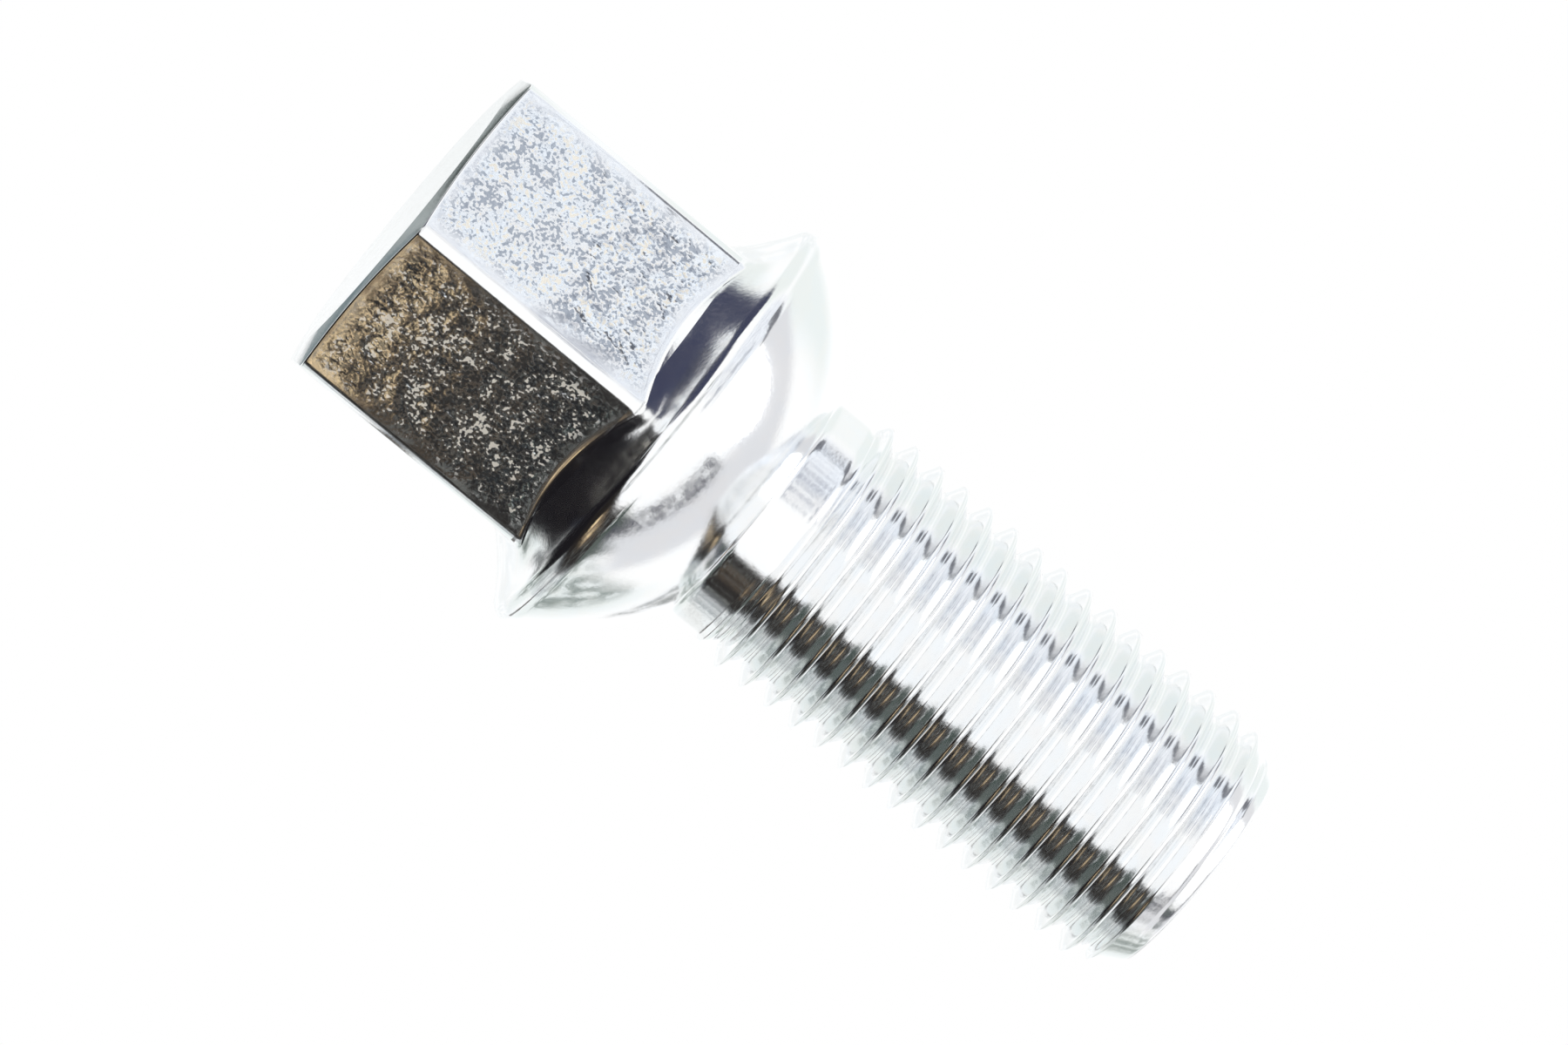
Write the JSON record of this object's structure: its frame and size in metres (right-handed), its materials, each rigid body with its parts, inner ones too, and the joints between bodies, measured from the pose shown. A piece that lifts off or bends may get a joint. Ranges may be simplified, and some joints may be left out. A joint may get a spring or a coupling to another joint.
{
  "type": "wheel bolt",
  "caption": "Wheel bolt with a hex head, a conical collar with a spherical seat under it, and a threaded shank with a chamfered tip, which clamps a wheel to its hub.",
  "frame": {"origin": "centre of the flat end of the hex head, which the bolt stands on", "axes": "+Z along the bolt's axis from the head to the tip; +X through one corner of the hex"},
  "size_m": [0.0232, 0.0232, 0.048],
  "materials": {
    "bright_plate": "bright zinc plate on forged steel, finely frosted on the hex flats"
  },
  "bodies": {
    "root": {"wheel_bolt": "bright_plate"}
  },
  "joints": []
}
